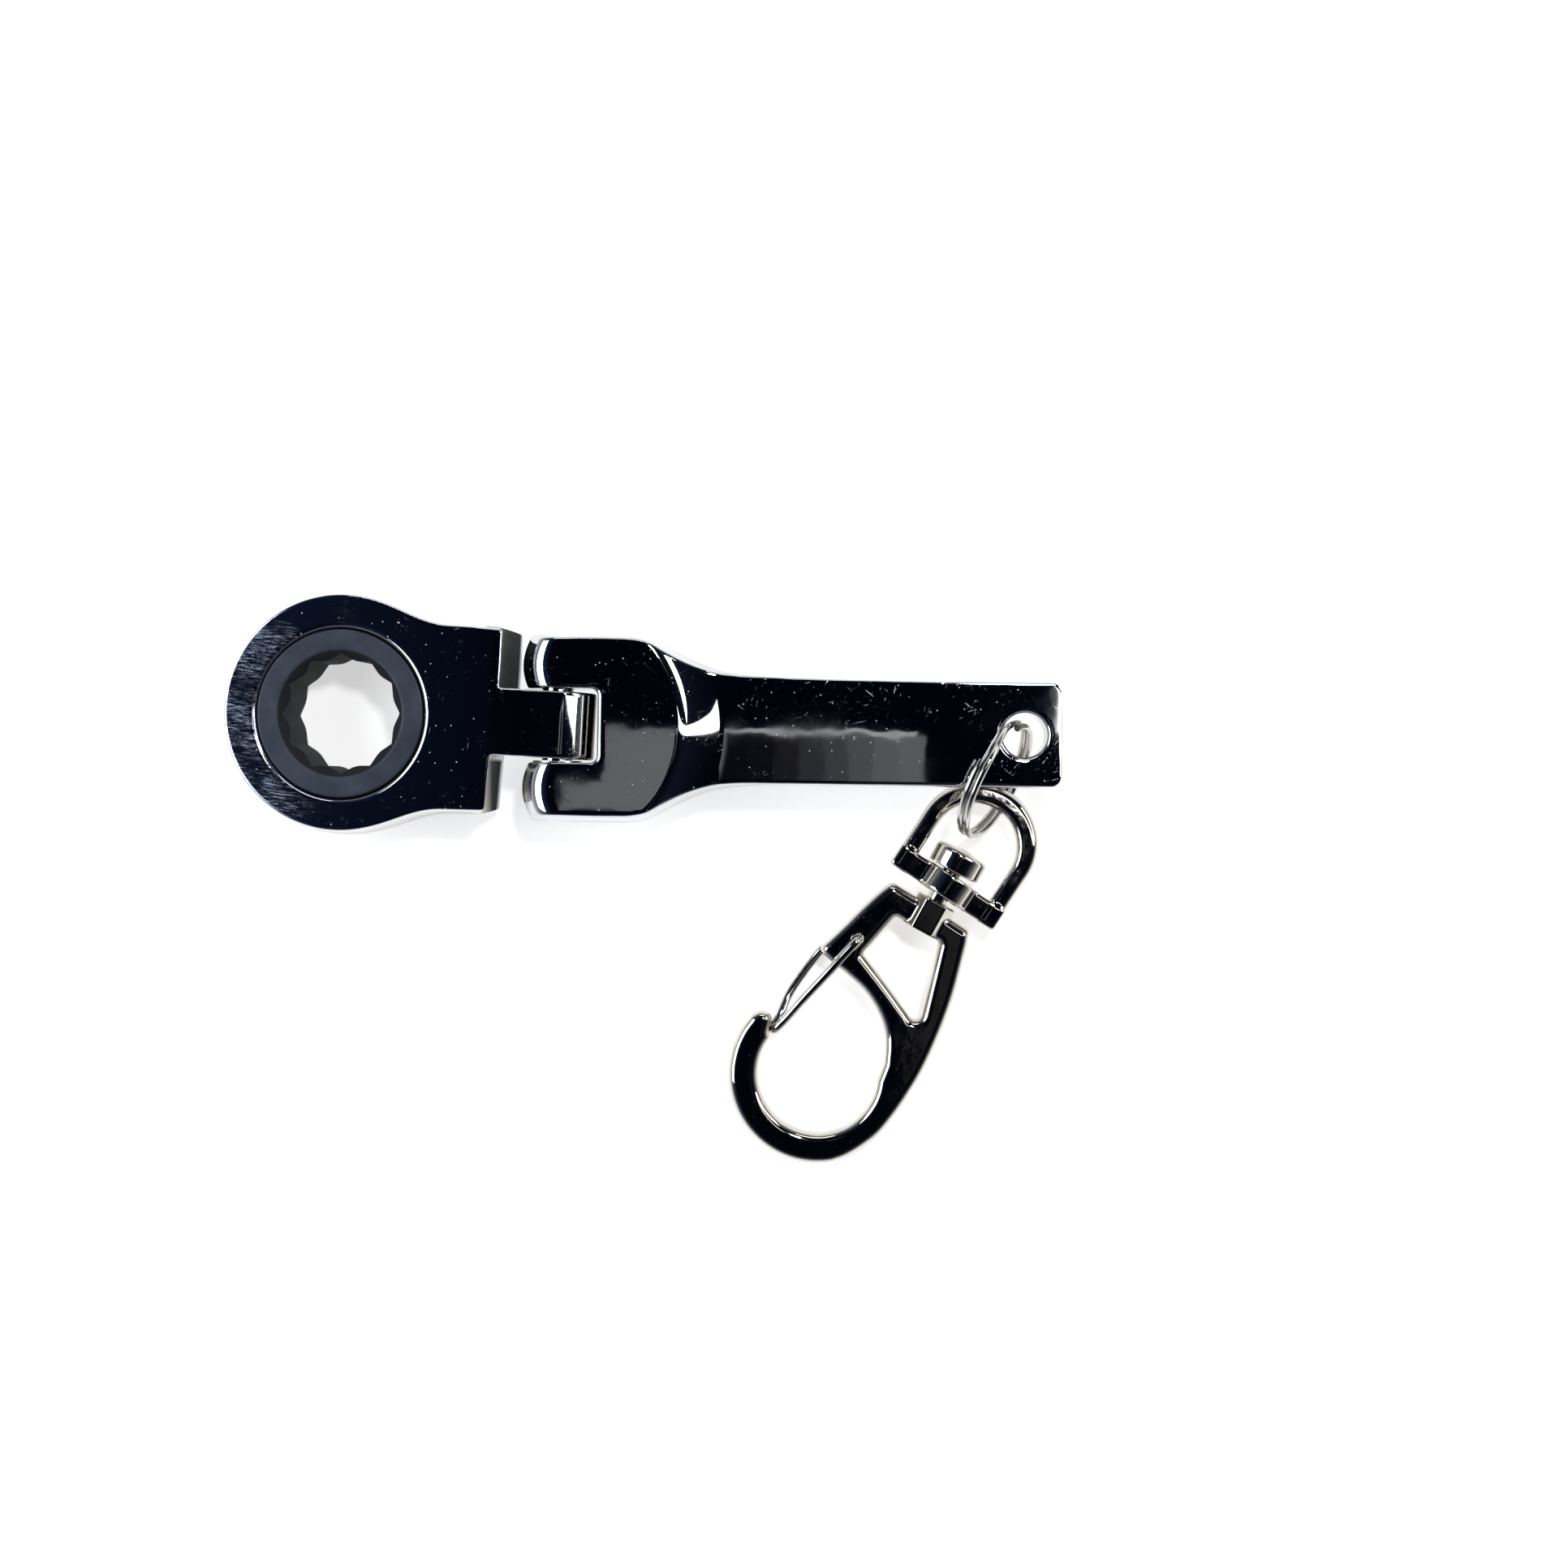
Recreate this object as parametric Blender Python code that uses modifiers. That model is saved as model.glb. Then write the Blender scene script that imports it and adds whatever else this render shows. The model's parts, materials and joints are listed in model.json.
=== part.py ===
"""Flex-head ratcheting bleed key on a swivel snap hook: 10 mm twelve-point drive ring, hinged handle,
split ring and wire-gate clip. Metres, +Z up, handle along X, lying flat with its lowest point at Z = 0."""

import math

import bmesh
import bpy
from mathutils import Matrix, Vector

MM = 0.001

# --- driving dimensions, millimetres and degrees ---------------------------------------------------
SPANNER_SIZE = 10.0          # across flats of the twelve-point opening
GAP = 0.1                    # clearance between neighbouring pieces

HINGE_X, HINGE_Y, HINGE_Z = -8.1, 15.0, 6.36     # flex hinge, so that the footprint is centred on the origin
FLEX_AT_REST = -4.75         # the head's far rim drops to the ground
HEAD_YAW = -2.4              # side play of the head on its hinge
HEAD_SHIFT = 0.12            # the washer pushes the tang towards the other ear

HEAD_REACH = 20.55           # hinge to the centre of the drive ring
HEAD_RADIUS = 11.5
HEAD_THICK = 7.4
HEAD_BULGE = 0.7             # the side walls swell by this beyond the flat faces
NECK_HALF_WIDTH = 9.0
SHOULDER_REACH = 5.55        # hinge to the neck's shoulders
SHOULDER_HOLLOW = 6.65       # the shoulders are hollowed round the hinge axis
TANG_HALF_WIDTH = 3.15
TANG_REACH = 3.6
HINGE_CORNER = 2.0           # rounding of the tang's and the ears' ends

COLLAR_RADIUS = 8.1          # the drive ring's plain ends
TOOTH_TIP, TOOTH_ROOT = 9.1, 8.75
TOOTH_COUNT = 72
TEETH_TOP, TEETH_BOTTOM = 2.35, -2.3
CLIP_TOP, CLIP_BOTTOM = -2.45, -3.05               # the retaining ring
PAWL_TRAVEL = 0.45
PAWL_HALF_WIDTH, PAWL_HALF_HEIGHT = 3.0, 1.8
PAWL_BACK = 12.3             # drive ring's centre to the pawl's back
SPRING_RADIUS, SPRING_WIRE = 0.85, 0.16
SPRING_TURNS = 5

FORK_HALF_WIDTH = 9.14
FORK_THICK = 6.8
FORK_BULGE = 0.65
EAR_REACH = 3.2
SLOT_HALF_WIDTH = 3.5
SLOT_REACH = 4.65
RIDGE_RADIUS = 11.9          # the fork's flat face ends in this arc round the hinge
SHANK_THICK = 4.2
SHANK_HALF_WIDTH = 4.95
HANDLE_REACH = 48.4
EYE_X, EYE_Y, EYE_RADIUS = 45.0, -0.2, 2.2
PIN_RADIUS, PIN_HALF_LENGTH = 1.5, 8.9

RING_WIRE, RING_RADIUS = 0.64, 5.87
RING_X, RING_Y, RING_DROP = 42.3, -4.4, 0.3    # from the hinge
RING_HEADING, RING_LEAN = -115.6, 19.0
RING_SPLIT = 125.0           # where the two turns cross over
RING_CROSSOVER = 24.0        # half the crossover's angle

CLIP_X, CLIP_Y, CLIP_Z = 37.83, -14.9, 3.14      # swivel centre: x, y from the hinge, z from the ground
CLIP_HEADING, CLIP_PITCH = -117.7, 2.8
BOW_LEAN, BOW_DIP, BOW_SHIFT = -5.0, -4.5, 0.3   # play of the bow on its stud
BOW_RADIUS, BOW_WIRE = 5.08, 1.95
BOW_CENTRE = -4.95
BAR_HALF, BOW_COLLAR_RADIUS, BOW_BORE = 1.15, 2.7, 1.55
BUTTON_RADIUS, BUTTON_TOP, BUTTON_BASE = 2.7, -4.0, -1.65
STUD_RADIUS = 1.0
BOSS_RADIUS, BOSS_TOP, BOSS_BOTTOM = 2.1, 1.7, 5.0
HOOK_THICK, HOOK_BULGE = 3.0, 0.45
GATE_WIRE = 0.9
GATE_X, GATE_Y = 8.65, -5.0  # the gate's pivot hole in the hook

STEEL_ROUND = 48             # facets round an ordinary cylinder


# --- scene helpers -----------------------------------------------------------------------------------
def clear_scene():
    for obj in list(bpy.data.objects):
        bpy.data.objects.remove(obj)


def new_collection(name):
    collection = bpy.data.collections.new(name)
    bpy.context.scene.collection.children.link(collection)
    return collection


def new_frame(name, parent, place, turn=(0, 0, 0)):
    """An empty that carries the pieces of one body: place in millimetres, turn in degrees."""
    frame = bpy.data.objects.new(name, None)
    frame.empty_display_size = 2 * MM
    PARTS.objects.link(frame)
    frame.parent = parent
    frame.location = Vector(place) * MM
    frame.rotation_euler = [math.radians(angle) for angle in turn]
    return frame


def material(name, colour, roughness, metallic=1.0):
    made = bpy.data.materials.new(name)
    made.use_nodes = True
    shader = made.node_tree.nodes["Principled BSDF"]
    shader.inputs["Base Color"].default_value = (*colour, 1)
    shader.inputs["Roughness"].default_value = roughness
    shader.inputs["Metallic"].default_value = metallic
    return made


def add_object(name, mesh, frame, finish=None):
    """A piece when it has a finish, otherwise a hidden cutter."""
    obj = bpy.data.objects.new(name, mesh)
    obj.parent = frame
    if finish is None:
        CUTTERS.objects.link(obj)
        obj.hide_render = True
        obj.display_type = "WIRE"
    else:
        PARTS.objects.link(obj)
        mesh.materials.append(finish)
        mesh.shade_smooth()
        mesh.set_sharp_from_angle(angle=math.radians(35))
    return obj


def cut(target, tool, operation="DIFFERENCE"):
    step = target.modifiers.new(f"{operation.lower()}_{tool.name}", "BOOLEAN")
    step.operation = operation
    step.object = tool


# --- shape helpers, all in millimetres ---------------------------------------------------------------
def mesh_from(bm, name):
    """Closes the welds, turns every face outwards and brings millimetres to metres."""
    bmesh.ops.scale(bm, vec=(MM, MM, MM), verts=bm.verts)
    bmesh.ops.remove_doubles(bm, verts=bm.verts, dist=1e-6)
    bmesh.ops.recalc_face_normals(bm, faces=bm.faces)
    mesh = bpy.data.meshes.new(name)
    bm.to_mesh(mesh)
    bm.free()
    return mesh


def box(name, low, high):
    bm = bmesh.new()
    bmesh.ops.create_cube(bm, size=1)
    middle, size = (Vector(low) + Vector(high)) / 2, Vector(high) - Vector(low)
    bmesh.ops.scale(bm, vec=size, verts=bm.verts)
    bmesh.ops.translate(bm, vec=middle, verts=bm.verts)
    return mesh_from(bm, name)


def cylinder(name, radius, start, end, facets=STEEL_ROUND, end_radius=None):
    """A cylinder or a cone between two points."""
    start, end = Vector(start), Vector(end)
    bm = bmesh.new()
    bmesh.ops.create_cone(
        bm,
        cap_ends=True,
        segments=facets,
        radius1=radius,
        radius2=radius if end_radius is None else end_radius,
        depth=(end - start).length,
    )
    aim = (end - start).to_track_quat("Z", "Y").to_matrix().to_4x4()
    bmesh.ops.transform(bm, matrix=Matrix.Translation((start + end) / 2) @ aim, verts=bm.verts)
    return mesh_from(bm, name)


def turned(name, profile, steps=STEEL_ROUND):
    """A closed (radius, height) profile turned round Z with a Screw modifier."""
    mesh = bpy.data.meshes.new(name)
    links = [(i, (i + 1) % len(profile)) for i in range(len(profile))]
    mesh.from_pydata([(r * MM, 0, z * MM) for r, z in profile], links, [])
    spun = bpy.data.objects.new(name, mesh)
    screw = spun.modifiers.new("turn", "SCREW")
    screw.steps = screw.render_steps = steps
    screw.use_merge_vertices = True
    screw.merge_threshold = 1e-5
    return freeze(spun, name)


def freeze(obj, name):
    """The evaluated mesh of a helper object, welded and facing outwards."""
    bpy.context.scene.collection.objects.link(obj)
    bpy.context.view_layer.update()
    evaluated = obj.evaluated_get(bpy.context.evaluated_depsgraph_get())
    raw = bpy.data.meshes.new_from_object(evaluated)
    bpy.data.objects.remove(obj)
    bm = bmesh.new()
    bm.from_mesh(raw)
    bpy.data.meshes.remove(raw)
    bmesh.ops.scale(bm, vec=(1 / MM, 1 / MM, 1 / MM), verts=bm.verts)
    bmesh.ops.remove_doubles(bm, verts=bm.verts, dist=1e-3)
    return mesh_from(bm, name)


def plate(name, outline, half_thick, bulge=0.0, rounding=1):
    """A flat piece with this outline, its edges rounded inwards by the bulge."""
    curve = bpy.data.curves.new(name, "CURVE")
    curve.dimensions = "2D"
    curve.fill_mode = "BOTH"
    curve.extrude = (half_thick - bulge) * MM
    curve.bevel_depth = bulge * MM
    curve.bevel_resolution = rounding
    curve.offset = -bulge * MM
    loop = curve.splines.new("POLY")
    loop.points.add(len(outline) - 1)
    for point, (x, y) in zip(loop.points, outline):
        point.co = (x * MM, y * MM, 0, 1)
    loop.use_cyclic_u = True
    return freeze(bpy.data.objects.new(name, curve), name)


def wire(name, path, thick, closed=False, sides=2):
    """A round wire along a path of (x, y, z) points."""
    curve = bpy.data.curves.new(name, "CURVE")
    curve.dimensions = "3D"
    curve.bevel_depth = thick / 2 * MM
    curve.bevel_resolution = sides
    curve.use_fill_caps = not closed
    run = curve.splines.new("POLY")
    run.points.add(len(path) - 1)
    for point, place in zip(run.points, path):
        point.co = (*(Vector(place) * MM), 1)
    run.use_cyclic_u = closed
    return freeze(bpy.data.objects.new(name, curve), name)


def turn_mesh(mesh, degrees, axis):
    mesh.transform(Matrix.Rotation(math.radians(degrees), 4, axis))
    return mesh


def arc(centre_x, centre_y, radius, start, end, count):
    """Points on an arc, both ends included."""
    angles = [math.radians(start + (end - start) * i / (count - 1)) for i in range(count)]
    return [(centre_x + radius * math.cos(a), centre_y + radius * math.sin(a)) for a in angles]


def smooth(points, per_span=4):
    """A Catmull-Rom curve through the points, ends included."""
    vectors = [Vector(p) for p in points]
    padded = [2 * vectors[0] - vectors[1], *vectors, 2 * vectors[-1] - vectors[-2]]
    found = []
    for a, b, c, d in zip(padded, padded[1:], padded[2:], padded[3:]):
        for step in range(per_span):
            t = step / per_span
            found.append(0.5 * (2 * b + (c - a) * t + (2 * a - 5 * b + 4 * c - d) * t * t
                                + (3 * b - a - 3 * c + d) * t ** 3))
    return [tuple(v) for v in found] + [tuple(vectors[-1])]


def mirrored(half):
    """An outline symmetric about X from its upper half."""
    return half + [(x, -y) for x, y in reversed(half)]


def rounded_end(reach, half_height, corner, far):
    """Side view of a plate whose end at -reach or +reach has rounded corners; it runs square to far."""
    side = 1 if reach > 0 else -1
    inner = reach - side * corner
    upper = [(inner + side * corner * math.cos(a), half_height - corner + corner * math.sin(a))
             for a in (math.radians(90 - 15 * i) for i in range(7))]
    return [(far, half_height), *upper, *[(x, -y) for x, y in reversed(upper)], (far, -half_height)]


# --- the ratchet head --------------------------------------------------------------------------------
def star(tip, root, points_count):
    """A ring of pointed teeth, one tip on +X."""
    return [
        (radius * math.cos(a), radius * math.sin(a))
        for i in range(2 * points_count)
        for radius, a in [(root if i % 2 else tip, math.pi * i / points_count)]
    ]


def make_head_body(frame, chrome):
    blend = smooth([(-HEAD_REACH + 3.97, 10.9), (-14.6, 9.98), (-11.4, 9.3), (-8.0, NECK_HALF_WIDTH),
                    (-SHOULDER_REACH + 0.3, 8.8)])
    disc = arc(-HEAD_REACH, 0, HEAD_RADIUS, 180, 74, 14)
    outline = mirrored(disc + blend)[:-1]
    body = add_object("head_body", plate("head_body", outline, HEAD_THICK / 2, HEAD_BULGE), frame, chrome)

    hollow = cylinder("head_hollow", SHOULDER_HOLLOW, (0, -12, 0), (0, 12, 0), 96)
    cut(body, add_object("head_hollow", hollow, frame))
    tang_side = rounded_end(TANG_REACH, FORK_THICK / 2, HINGE_CORNER, -SHOULDER_HOLLOW - 1)
    tang = turn_mesh(plate("head_tang", tang_side, TANG_HALF_WIDTH), 90, "X")
    cut(body, add_object("head_tang", tang, frame), "UNION")

    seat = frame_of_ring(frame, "head_ring_seat")
    top = HEAD_THICK / 2
    bore = turned("head_bore", [
        (0, top + 1), (COLLAR_RADIUS + 1.6, top + 1), (COLLAR_RADIUS + 0.55, top), (COLLAR_RADIUS + 0.15, top - 0.4),
        (COLLAR_RADIUS + 0.15, TEETH_TOP + GAP), (TOOTH_TIP + GAP, TEETH_TOP + GAP),
        (TOOTH_TIP + GAP, CLIP_TOP + GAP), (TOOTH_TIP + 0.65, CLIP_TOP + GAP), (TOOTH_TIP + 0.65, CLIP_BOTTOM - GAP),
        (TOOTH_TIP + GAP, CLIP_BOTTOM - GAP), (TOOTH_TIP + GAP, -top - 1), (0, -top - 1)], 72)
    cut(body, add_object("head_bore", bore, seat))
    room = PAWL_TRAVEL + 3 * GAP
    pocket = box("pawl_pocket", (TOOTH_ROOT - 1.5, -PAWL_HALF_WIDTH - GAP, -PAWL_HALF_HEIGHT - GAP),
                 (PAWL_BACK + room, PAWL_HALF_WIDTH + GAP, PAWL_HALF_HEIGHT + GAP))
    cut(body, add_object("pawl_pocket", pocket, seat))
    spring_hole = cylinder("spring_hole", SPRING_RADIUS + SPRING_WIRE + GAP, (PAWL_BACK - 1, 0, 0),
                           (PAWL_BACK + room + 2.2, 0, 0), 20)
    cut(body, add_object("spring_hole", spring_hole, seat))
    pin_hole = cylinder("tang_pin_hole", PIN_RADIUS + 0.25, (0, -5, 0), (0, 5, 0))
    cut(body, add_object("tang_pin_hole", pin_hole, frame))


def frame_of_ring(frame, name):
    return new_frame(name, frame, (-HEAD_REACH, 0, 0))


def make_drive_ring(frame, phosphate):
    """The toothed ring that turns in the head, with the twelve-point opening through it."""
    teeth = plate("drive_ring", star(TOOTH_TIP, TOOTH_ROOT, TOOTH_COUNT), (TEETH_TOP - TEETH_BOTTOM) / 2)
    teeth.transform(Matrix.Translation((0, 0, (TEETH_TOP + TEETH_BOTTOM) / 2 * MM)))
    ring = add_object("drive_ring", teeth, frame, phosphate)
    end = HEAD_THICK / 2 - 0.05
    collar = cylinder("drive_collar", COLLAR_RADIUS, (0, 0, -end), (0, 0, end), 72)
    cut(ring, add_object("drive_collar", collar, frame), "UNION")
    corner = SPANNER_SIZE / math.sqrt(3)
    for number in range(2):
        hexagon = cylinder(f"hexagon_{number}", corner, (0, 0, -6), (0, 0, 6), 6)
        turn_mesh(hexagon, 30 * number, "Z")
        cut(ring, add_object(f"hexagon_{number}", hexagon, frame))
    for side in (1, -1):
        lead = cylinder(f"lead_in_{side}", corner - 0.6, (0, 0, side * (end - 0.7)), (0, 0, side * (end + 0.2)),
                        72, corner + 0.35)
        cut(ring, add_object(f"lead_in_{side}", lead, frame))


def make_pawl(frame, steel):
    """A toothed block that slides towards the drive ring and engages its teeth."""
    block = box("pawl", (TOOTH_ROOT - 0.6, -PAWL_HALF_WIDTH, -PAWL_HALF_HEIGHT),
                (PAWL_BACK, PAWL_HALF_WIDTH, PAWL_HALF_HEIGHT))
    pawl = add_object("pawl", block, frame, steel)
    mesh_room = plate("pawl_mesh", star(TOOTH_TIP + 1.2 * GAP, TOOTH_ROOT + 1.2 * GAP, TOOTH_COUNT), 5)
    cut(pawl, add_object("pawl_mesh", mesh_room, frame))
    seat = cylinder("pawl_seat", SPRING_RADIUS + SPRING_WIRE + GAP, (PAWL_BACK - 0.9, 0, 0), (PAWL_BACK + 1, 0, 0), 20)
    cut(pawl, add_object("pawl_seat", seat, frame))


def make_pawl_spring(frame, steel):
    start = PAWL_BACK - 0.9 + SPRING_WIRE + 0.05
    end = PAWL_BACK + PAWL_TRAVEL + 3 * GAP + 2.2 - SPRING_WIRE - 0.05
    steps = 12 * SPRING_TURNS
    path = []
    for i in range(steps + 1):
        a = 2 * math.pi * i / 12
        along = start + (end - start) * i / steps
        path.append((along, SPRING_RADIUS * math.cos(a), SPRING_RADIUS * math.sin(a)))
    add_object("pawl_spring", wire("pawl_spring", path, 2 * SPRING_WIRE, sides=1), frame, steel)


def make_retaining_ring(frame, steel):
    """The open snap ring behind the drive ring's teeth."""
    inner, outer = COLLAR_RADIUS + 0.2, TOOTH_TIP + 0.55
    outline = arc(0, 0, outer, 8, 352, 60) + arc(0, 0, inner, 352, 8, 60)
    mesh = plate("retaining_ring", outline, (CLIP_TOP - CLIP_BOTTOM) / 2)
    mesh.transform(Matrix.Translation((0, 0, (CLIP_TOP + CLIP_BOTTOM) / 2 * MM)))
    add_object("retaining_ring", mesh, frame, steel)


# --- the handle --------------------------------------------------------------------------------------
def handle_outline():
    """Fork as wide as the neck, a waist that sweeps in, and a parallel shank."""
    sweep = smooth([(7.0, FORK_HALF_WIDTH), (8.9, 8.76), (10.5, 8.0), (12.1, 7.16), (13.7, 6.42), (15.3, 5.87),
                    (17.0, 5.5), (19.9, 5.2), (25.0, SHANK_HALF_WIDTH + 0.07)])
    corner = 1.0
    end = arc(HANDLE_REACH - corner, SHANK_HALF_WIDTH - corner - 0.05, corner, 90, 0, 5)
    mouth = [(-EAR_REACH, FORK_HALF_WIDTH - 0.45), (-EAR_REACH + 1.5, FORK_HALF_WIDTH - 0.1)]
    return mirrored(mouth + sweep + end)


def make_handle(frame, chrome):
    plan = plate("handle", handle_outline(), FORK_THICK / 2, FORK_BULGE)
    handle = add_object("handle", plan, frame, chrome)
    ears = turn_mesh(plate("handle_ears", rounded_end(-EAR_REACH, FORK_THICK / 2 + 0.001, HINGE_CORNER, 60), 12),
                     90, "X")
    cut(handle, add_object("handle_ears", ears, frame), "INTERSECT")

    low, high = SHANK_THICK / 2, FORK_THICK / 2
    flat_start = RIDGE_RADIUS + 4.9
    radius = ((flat_start - RIDGE_RADIUS) ** 2 + (high - low) ** 2) / (2 * (high - low))
    climb = [(flat_start - radius * math.sin(a), low + radius * (1 - math.cos(a)))
             for a in (math.asin((flat_start - RIDGE_RADIUS + 0.8) / radius) * i / 6 for i in range(7))]
    profile = [(60, low), *climb, (climb[-1][0], high + 3), (60, high + 3)]
    for side in (1, -1):
        scoop = turned(f"scoop_{side}", [(r, side * z) for r, z in profile], 72)
        cut(handle, add_object(f"scoop_{side}", scoop, frame))

    root = 0.8
    upper = [(-6, SLOT_HALF_WIDTH)] + arc(SLOT_REACH - root, SLOT_HALF_WIDTH - root, root, 90, 0, 5)
    slot = plate("fork_slot", mirrored(upper), 6)
    cut(handle, add_object("fork_slot", slot, frame))
    pin_hole = cylinder("fork_pin_hole", PIN_RADIUS + 0.05, (0, -12, 0), (0, 12, 0))
    cut(handle, add_object("fork_pin_hole", pin_hole, frame))
    eye = turned("handle_eye", [(0, low + 1), (EYE_RADIUS + 1.3, low + 1), (EYE_RADIUS + 0.3, low),
                                (EYE_RADIUS, low - 0.3), (EYE_RADIUS, 0.3 - low), (EYE_RADIUS + 0.3, -low),
                                (EYE_RADIUS + 1.3, -low - 1), (0, -low - 1)], 36)
    eye.transform(Matrix.Translation((EYE_X * MM, EYE_Y * MM, 0)))
    cut(handle, add_object("handle_eye", eye, frame))


def make_hinge_pin(frame, steel):
    pin = cylinder("hinge_pin", PIN_RADIUS, (0, -PIN_HALF_LENGTH, 0), (0, PIN_HALF_LENGTH, 0))
    add_object("hinge_pin", pin, frame, steel)


def make_friction_washer(frame, steel):
    """A thin disc between the tang and one ear, which holds the head where it is put."""
    thick, outer = 0.2, 2.4
    near = -SLOT_HALF_WIDTH + 0.04
    washer = add_object("friction_washer", cylinder("friction_washer", outer, (0, near, 0), (0, near + thick, 0)),
                        frame, steel)
    hole = cylinder("washer_hole", PIN_RADIUS + 0.1, (0, -5, 0), (0, 0, 0))
    cut(washer, add_object("washer_hole", hole, frame))


# --- split ring and clip -----------------------------------------------------------------------------
def make_split_ring(frame, steel):
    """Two touching turns of wire that change sides at the split."""
    pitch = RING_WIRE + 0.05
    first, last = RING_CROSSOVER + 3, 720 - RING_CROSSOVER - 3
    steps = 84
    path = []
    for i in range(steps + 1):
        angle = first + (last - first) * i / steps
        change = min(max((angle - 360) / RING_CROSSOVER, -1), 1)
        side = pitch / 2 * math.sin(change * math.pi / 2)
        a = math.radians(angle + RING_SPLIT)
        path.append((RING_RADIUS * math.cos(a), RING_RADIUS * math.sin(a), side))
    add_object("split_ring", wire("split_ring", path, RING_WIRE, sides=1), frame, steel)


def make_swivel_bow(frame, nickel):
    """A D of wire closed by a flat bar with a barrel in its middle, which turns on the stud."""
    arch = [(x, y, 0) for x, y in arc(BOW_CENTRE, 0, BOW_RADIUS, 90, 270, 17)]
    loop = [(0, BOW_RADIUS - 0.1, 0), *arch, (0, -BOW_RADIUS + 0.1, 0)]
    bow = add_object("swivel_bow", wire("swivel_bow", loop, BOW_WIRE, sides=3), frame, nickel)
    reach = BOW_RADIUS + BOW_WIRE / 2 - 0.05
    bar = box("bow_bar", (-BAR_HALF, -reach, -1.1), (BAR_HALF, reach, 1.1))
    cut(bow, add_object("bow_bar", bar, frame), "UNION")
    barrel = cylinder("bow_barrel", BOW_COLLAR_RADIUS, (-BAR_HALF - 0.02, 0, 0), (BAR_HALF + 0.02, 0, 0), 36)
    cut(bow, add_object("bow_barrel", barrel, frame), "UNION")
    bore = cylinder("bow_bore", BOW_BORE, (-4, 0, 0), (4, 0, 0), 32)
    cut(bow, add_object("bow_bore", bore, frame))


def make_swivel_stud(frame, nickel):
    """A button-headed rivet through the bow, peened in the hook's boss."""
    flare = 0.5
    profile = [(0, BOSS_BOTTOM), (STUD_RADIUS + flare, BOSS_BOTTOM), (STUD_RADIUS, BOSS_BOTTOM - flare),
               (STUD_RADIUS, BUTTON_BASE), (BUTTON_RADIUS, BUTTON_BASE), (BUTTON_RADIUS, BUTTON_TOP + 0.6),
               (BUTTON_RADIUS - 0.25, BUTTON_TOP + 0.2), (BUTTON_RADIUS - 0.9, BUTTON_TOP), (0, BUTTON_TOP)]
    stud = turn_mesh(turned("swivel_stud", profile, 36), 90, "Y")
    add_object("swivel_stud", stud, frame, nickel)


def hook_outline():
    """Outside of the hook from the blunt end of its left leg round the bowl and back along the opening."""
    left_leg = smooth([(2.2, -4.3), (2.65, -4.95), (4.8, -5.8), (8.05, -6.77), (10.75, -7.65)], 3)
    leg_end = [(11.3, -7.5), (11.85, -6.1)]
    strut = smooth([(12.1, -4.6), (12.8, -1.95), (14.1, 0.35), (15.85, 2.05), (18.55, 3.35)])[:-1]
    bowl = arc(22.2, -2.1, 5.95, 112, -98, 22)
    nose = [(20.95, -8.5), (19.55, -8.75), (19.35, -9.85), (20.05, -10.5)]
    outside = arc(22.3, -2.1, 8.65, -97, 50, 20)
    right_leg = smooth([(26.4, 5.2), (23.95, 6.1), (19.9, 6.6), (15.6, 6.7), (9.7, 6.0), (3.9, 4.6)])
    top = [(3.0, 4.3), (2.8, 4.1), (2.35, -1.6)]
    return left_leg + leg_end + strut + bowl + nose + outside + right_leg + top


def hook_window():
    """The three-cornered window between the two legs and the strut."""
    strut_side = smooth([(9.95, -3.45), (11.4, -0.2), (12.8, 2.7)], 3)
    return ([(4.9, -2.65), (5.1, -2.9), (9.4, -3.85), (9.8, -3.8)] + strut_side
            + arc(12.35, 3.4, 0.75, -30, 110, 6) + [(5.4, 2.3), (5.1, 2.05)])


def make_hook_body(frame, nickel):
    hook = add_object("hook_body", plate("hook_body", hook_outline(), HOOK_THICK / 2, HOOK_BULGE), frame, nickel)
    cut(hook, add_object("hook_window", plate("hook_window", hook_window(), 4), frame))
    boss = cylinder("hook_boss", BOSS_RADIUS, (BOSS_TOP, 0, 0), (BOSS_BOTTOM, 0, 0), 36)
    cut(hook, add_object("hook_boss", boss, frame), "UNION")
    clear, flare = STUD_RADIUS + GAP, 0.5
    profile = [(0, BOSS_BOTTOM + 1), (clear + flare + 1, BOSS_BOTTOM + 1), (clear, BOSS_BOTTOM - flare),
               (clear, BOSS_TOP - 1), (0, BOSS_TOP - 1)]
    stud_hole = turn_mesh(turned("stud_hole", profile, 32), 90, "Y")
    cut(hook, add_object("stud_hole", stud_hole, frame))
    pivot = cylinder("gate_hole", GATE_WIRE / 2 + 0.1, (GATE_X, GATE_Y, -3), (GATE_X, GATE_Y, 3), 20)
    cut(hook, add_object("gate_hole", pivot, frame))


def make_wire_gate(frame, steel):
    """A hairpin of spring wire: one leg over the hook's face, one behind it, both ends in one hole."""
    over = HOOK_THICK / 2 + GATE_WIRE / 2 + 0.1
    route = [(0, 0, 0.65), (0, 0, over - 0.35), (0.35, -0.08, over), (2.0, -0.5, over), (4.3, -1.07, over - 0.05),
             (7.65, -1.9, over - 0.55), (10.2, -2.45, over - 1.2), (11.5, -2.8, 0.5), (11.85, -2.95, 0),
             (11.5, -3.05, -0.5), (10.2, -3.25, 1.2 - over), (7.95, -3.75, 0.45 - over), (4.3, -3.15, -over),
             (2.4, -2.2, -over), (0.5, -0.45, -over), (0, 0, 0.35 - over), (0, 0, -0.65)]
    add_object("wire_gate", wire("wire_gate", smooth(route, 3), GATE_WIRE, sides=2), frame, steel)


# --- assembly ----------------------------------------------------------------------------------------
clear_scene()
PARTS = new_collection("bleed_key")
CUTTERS = new_collection("cutters")

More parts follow.
